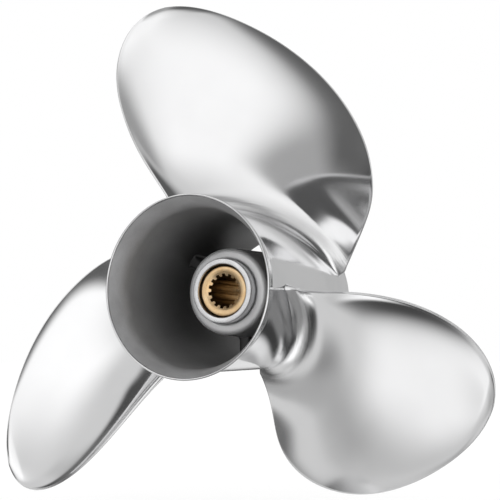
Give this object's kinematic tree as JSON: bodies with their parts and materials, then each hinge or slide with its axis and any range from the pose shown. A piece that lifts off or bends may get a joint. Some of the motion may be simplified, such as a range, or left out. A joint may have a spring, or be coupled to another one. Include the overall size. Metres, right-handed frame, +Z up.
{
  "type": "boat propeller",
  "caption": "Polished stainless outboard boat propeller: raked, cupped blades on a flared exhaust barrel, with a splined brass sleeve bonded in a rubber bush.",
  "frame": {"origin": "on the shaft axis, inside the spline bore, 63.4 mm astern of the barrel's front rim", "axes": "+Y along the shaft towards the bow (the way it drives the boat), +Z up through one blade's root, +X to starboard seen from astern"},
  "size_m": [0.3201, 0.1445, 0.2987],
  "materials": {
    "polished_stainless": "mirror polished",
    "blasted_stainless": "bead blasted",
    "machined_steel": "fine turned",
    "black_rubber": "matt",
    "brass": "turned"
  },
  "bodies": {
    "shaft_sleeve": {"spline_sleeve": "brass"},
    "propeller": {"hub_barrel": "polished_stainless", "inner_hub": "blasted_stainless", "rib_1": "blasted_stainless", "rib_2": "blasted_stainless", "rib_3": "blasted_stainless", "blade_1": "polished_stainless", "blade_2": "polished_stainless", "blade_3": "polished_stainless", "bush_shell": "machined_steel", "rubber_bushing": "black_rubber"}
  },
  "joints": [
    {"name": "hub_bush_twist", "type": "hinge", "parent": "shaft_sleeve", "child": "propeller", "pos_m": [0, 0, 0], "axis": [0, 1, 0], "range_deg": [-10, 10], "stiffness_Nm_per_rad": 1500}
  ]
}
